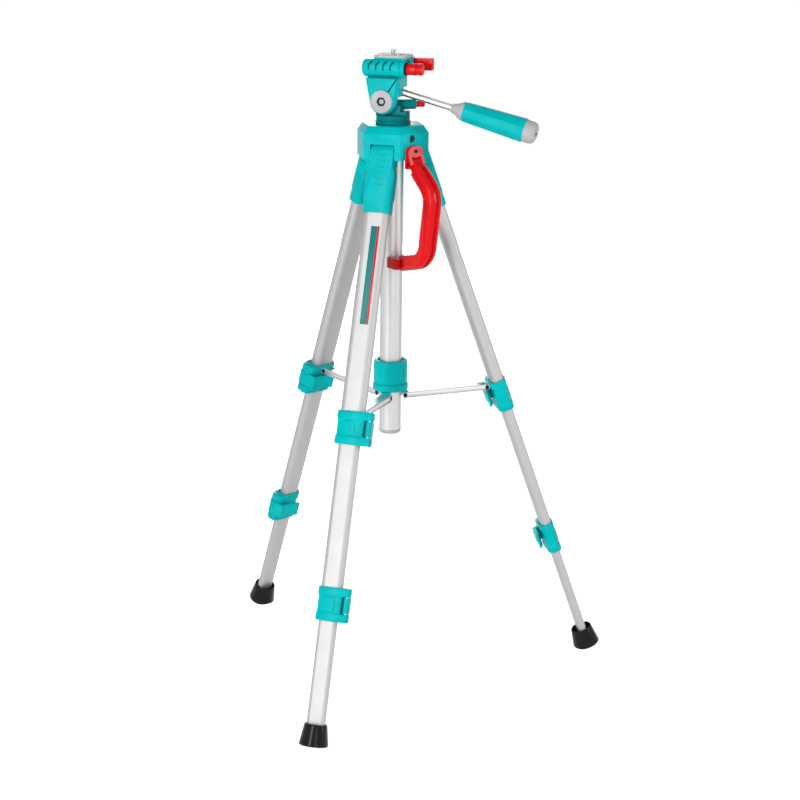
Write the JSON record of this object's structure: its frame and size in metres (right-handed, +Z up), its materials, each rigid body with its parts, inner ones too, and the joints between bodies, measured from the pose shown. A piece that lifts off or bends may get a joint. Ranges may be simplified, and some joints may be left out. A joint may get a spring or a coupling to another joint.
{
  "type": "tripod",
  "caption": "Folding floor tripod with telescoping flat-oval legs, flip-lever locks, sliding spreader, carry handle and a pan-and-tilt head with a quick-release camera plate.",
  "frame": {"origin": "point on the floor under the column axis", "axes": "+Z up the column, -Y towards the front leg, +X along the pan handle"},
  "size_m": [0.4428, 0.3878, 0.696],
  "materials": {
    "teal_plastic": "semi-gloss teal",
    "red_plastic": "gloss red",
    "satin_aluminium": "satin anodised",
    "grey_plastic": "pale grey, matt",
    "chromed_steel": "bright chrome",
    "steel": "plain steel",
    "black_steel": "blackened",
    "black_rubber": "matt rubber"
  },
  "bodies": {
    "crown_group": {"crown": "teal_plastic", "leg_hinge_pins": "steel", "column_sleeve": "satin_aluminium", "column_end_cap": "grey_plastic", "handle_bracket": "red_plastic", "crown_fasteners": "black_steel"},
    "leg_front": {"leg_socket_front": "teal_plastic", "upper_tube_front": "satin_aluminium", "upper_lock_front": "teal_plastic", "upper_lock_pins_front": "black_steel"},
    "leg_middle_front": {"middle_tube_front": "satin_aluminium", "lower_lock_front": "teal_plastic", "lower_lever_pin_front": "steel"},
    "leg_lower_front": {"lower_tube_front": "satin_aluminium", "foot_front": "black_rubber"},
    "upper_lever_front": {"upper_lever_front": "teal_plastic"},
    "lower_lever_front": {"lower_lever_front": "teal_plastic"},
    "leg_right": {"leg_socket_right": "teal_plastic", "upper_tube_right": "satin_aluminium", "upper_lock_right": "teal_plastic", "upper_lock_pins_right": "black_steel"},
    "leg_middle_right": {"middle_tube_right": "satin_aluminium", "lower_lock_right": "teal_plastic", "lower_lever_pin_right": "steel"},
    "leg_lower_right": {"lower_tube_right": "satin_aluminium", "foot_right": "black_rubber"},
    "upper_lever_right": {"upper_lever_right": "teal_plastic"},
    "lower_lever_right": {"lower_lever_right": "teal_plastic"},
    "leg_left": {"leg_socket_left": "teal_plastic", "upper_tube_left": "satin_aluminium", "upper_lock_left": "teal_plastic", "upper_lock_pins_left": "black_steel"},
    "leg_middle_left": {"middle_tube_left": "satin_aluminium", "lower_lock_left": "teal_plastic", "lower_lever_pin_left": "steel"},
    "leg_lower_left": {"lower_tube_left": "satin_aluminium", "foot_left": "black_rubber"},
    "upper_lever_left": {"upper_lever_left": "teal_plastic"},
    "lower_lever_left": {"lower_lever_left": "teal_plastic"},
    "spreader_collar": {"spreader_collar": "teal_plastic", "spreader_arm_pins": "black_steel"},
    "spreader_arm_front": {"spreader_arm_front": "satin_aluminium"},
    "spreader_arm_right": {"spreader_arm_right": "satin_aluminium"},
    "spreader_arm_left": {"spreader_arm_left": "satin_aluminium"},
    "carry_handle": {"carry_handle": "red_plastic"},
    "column_lock_ring": {"column_lock_ring": "teal_plastic"},
    "centre_column": {"centre_column": "satin_aluminium"},
    "pan_head": {"pan_base": "teal_plastic"},
    "pan_lock_knob": {"pan_lock_knob": "red_plastic"},
    "tilt_head": {"tilt_body": "teal_plastic", "tilt_axle": "grey_plastic"},
    "pan_handle": {"handle_rod": "chromed_steel", "handle_ferrule": "grey_plastic", "handle_grip": "teal_plastic", "handle_end_cap": "grey_plastic"},
    "platform": {"platform": "teal_plastic"},
    "portrait_knob": {"portrait_knob": "red_plastic"},
    "release_lever": {"release_lever": "red_plastic"},
    "camera_plate": {"quick_release_plate": "grey_plastic"},
    "camera_screw": {"camera_screw": "steel"}
  },
  "joints": [
    {"name": "leg_fold_front", "type": "hinge", "parent": "crown_group", "child": "leg_front", "pos_m": [0, -0.02723, 0.58873], "axis": [1, 0, 0], "range_deg": [0, 17.5]},
    {"name": "middle_section_front", "type": "slide", "parent": "leg_front", "child": "leg_middle_front", "axis": [0, -0.3399, -0.9405], "range_m": [-0.14, 0.08]},
    {"name": "lower_section_front", "type": "slide", "parent": "leg_middle_front", "child": "leg_lower_front", "axis": [0, -0.3399, -0.9405], "range_m": [-0.1, 0.125]},
    {"name": "upper_lever_flip_front", "type": "hinge", "parent": "leg_front", "child": "upper_lever_front", "pos_m": [0.0203, -0.13052, 0.31632], "axis": [0, -0.3399, -0.9405], "range_deg": [0, 110]},
    {"name": "lower_lever_flip_front", "type": "hinge", "parent": "leg_middle_front", "child": "lower_lever_front", "pos_m": [0.0185, -0.19176, 0.14259], "axis": [0, -0.3399, -0.9405], "range_deg": [0, 110]},
    {"name": "leg_fold_right", "type": "hinge", "parent": "crown_group", "child": "leg_right", "pos_m": [0.02358, 0.01362, 0.58873], "axis": [-0.5, 0.866, 0], "range_deg": [0, 17.5]},
    {"name": "middle_section_right", "type": "slide", "parent": "leg_right", "child": "leg_middle_right", "axis": [0.2944, 0.1699, -0.9405], "range_m": [-0.14, 0.08]},
    {"name": "lower_section_right", "type": "slide", "parent": "leg_middle_right", "child": "leg_lower_right", "axis": [0.2944, 0.1699, -0.9405], "range_m": [-0.1, 0.125]},
    {"name": "upper_lever_flip_right", "type": "hinge", "parent": "leg_right", "child": "upper_lever_right", "pos_m": [0.10288, 0.08284, 0.31632], "axis": [0.2944, 0.1699, -0.9405], "range_deg": [0, 110]},
    {"name": "lower_lever_flip_right", "type": "hinge", "parent": "leg_middle_right", "child": "lower_lever_right", "pos_m": [0.15682, 0.1119, 0.14259], "axis": [0.2944, 0.1699, -0.9405], "range_deg": [0, 110]},
    {"name": "leg_fold_left", "type": "hinge", "parent": "crown_group", "child": "leg_left", "pos_m": [-0.02358, 0.01362, 0.58873], "axis": [-0.5, -0.866, 0], "range_deg": [0, 17.5]},
    {"name": "middle_section_left", "type": "slide", "parent": "leg_left", "child": "leg_middle_left", "axis": [-0.2944, 0.1699, -0.9405], "range_m": [-0.14, 0.08]},
    {"name": "lower_section_left", "type": "slide", "parent": "leg_middle_left", "child": "leg_lower_left", "axis": [-0.2944, 0.1699, -0.9405], "range_m": [-0.1, 0.125]},
    {"name": "upper_lever_flip_left", "type": "hinge", "parent": "leg_left", "child": "upper_lever_left", "pos_m": [-0.12318, 0.04768, 0.31632], "axis": [-0.2944, 0.1699, -0.9405], "range_deg": [0, 110]},
    {"name": "lower_lever_flip_left", "type": "hinge", "parent": "leg_middle_left", "child": "lower_lever_left", "pos_m": [-0.17532, 0.07986, 0.14259], "axis": [-0.2944, 0.1699, -0.9405], "range_deg": [0, 110]},
    {"name": "spreader_slide", "type": "slide", "parent": "crown_group", "child": "spreader_collar", "axis": [0, 0, 1], "range_m": [0, 0.0861]},
    {"name": "spreader_arm_swing_front", "type": "hinge", "parent": "spreader_collar", "child": "spreader_arm_front", "pos_m": [0, -0.0158, 0.3185], "axis": [1, 0, 0], "range_deg": [0, 87.43]},
    {"name": "spreader_arm_swing_right", "type": "hinge", "parent": "spreader_collar", "child": "spreader_arm_right", "pos_m": [0.01368, 0.0079, 0.3185], "axis": [-0.5, 0.866, 0], "range_deg": [0, 87.43]},
    {"name": "spreader_arm_swing_left", "type": "hinge", "parent": "spreader_collar", "child": "spreader_arm_left", "pos_m": [-0.01368, 0.0079, 0.3185], "axis": [-0.5, -0.866, 0], "range_deg": [0, 87.43]},
    {"name": "carry_handle_swing", "type": "hinge", "parent": "crown_group", "child": "carry_handle", "pos_m": [0.03233, -0.02181, 0.579], "axis": [-0.5592, -0.829, 0], "range_deg": [0, 70]},
    {"name": "column_lock_turn", "type": "hinge", "parent": "crown_group", "child": "column_lock_ring", "pos_m": [0, 0, 0.6195], "axis": [0, 0, 1], "range_deg": [0, 90]},
    {"name": "column_lift", "type": "slide", "parent": "crown_group", "child": "centre_column", "axis": [0, 0, 1], "range_m": [0, 0.2]},
    {"name": "pan", "type": "hinge", "parent": "centre_column", "child": "pan_head", "pos_m": [0, 0, 0.624], "axis": [0, 0, 1], "continuous": true},
    {"name": "pan_lock_turn", "type": "hinge", "parent": "pan_head", "child": "pan_lock_knob", "pos_m": [0.02007, 0.01405, 0.6374], "axis": [0.8192, 0.5736, 0], "range_deg": [0, 270]},
    {"name": "tilt", "type": "hinge", "parent": "pan_head", "child": "tilt_head", "pos_m": [-0.007, 0, 0.642], "axis": [0, -1, 0], "range_deg": [-12, 75]},
    {"name": "handle_twist", "type": "hinge", "parent": "tilt_head", "child": "pan_handle", "pos_m": [0.0098, 0, 0.651], "axis": [0.9703, 0, -0.2419], "range_deg": [0, 270]},
    {"name": "portrait_flip", "type": "hinge", "parent": "tilt_head", "child": "platform", "pos_m": [0, -0.008, 0.676], "axis": [1, 0, 0], "range_deg": [0, 90]},
    {"name": "portrait_knob_turn", "type": "hinge", "parent": "platform", "child": "portrait_knob", "pos_m": [0.0186, -0.008, 0.676], "axis": [1, 0, 0], "range_deg": [0, 270]},
    {"name": "release_lever_swing", "type": "hinge", "parent": "platform", "child": "release_lever", "pos_m": [0.0165, 0.013, 0.683], "axis": [0, 0, 1], "range_deg": [0, 55]},
    {"name": "plate_lift_off", "type": "slide", "parent": "platform", "child": "camera_plate", "axis": [0, 0, 1], "range_m": [0, 0.015]},
    {"name": "camera_screw_turn", "type": "hinge", "parent": "camera_plate", "child": "camera_screw", "pos_m": [0, 0, 0.69], "axis": [0, 0, 1], "continuous": true}
  ],
  "couplings": [
    {"joint": "leg_fold_right", "follows": "leg_fold_front", "ratio": 1},
    {"joint": "leg_fold_left", "follows": "leg_fold_front", "ratio": 1},
    {"joint": "spreader_slide", "follows": "leg_fold_front", "m_per_rad": 0.28021},
    {"joint": "spreader_arm_swing_front", "follows": "leg_fold_front", "ratio": 4.9791},
    {"joint": "spreader_arm_swing_right", "follows": "leg_fold_front", "ratio": 4.9791},
    {"joint": "spreader_arm_swing_left", "follows": "leg_fold_front", "ratio": 4.9791}
  ]
}
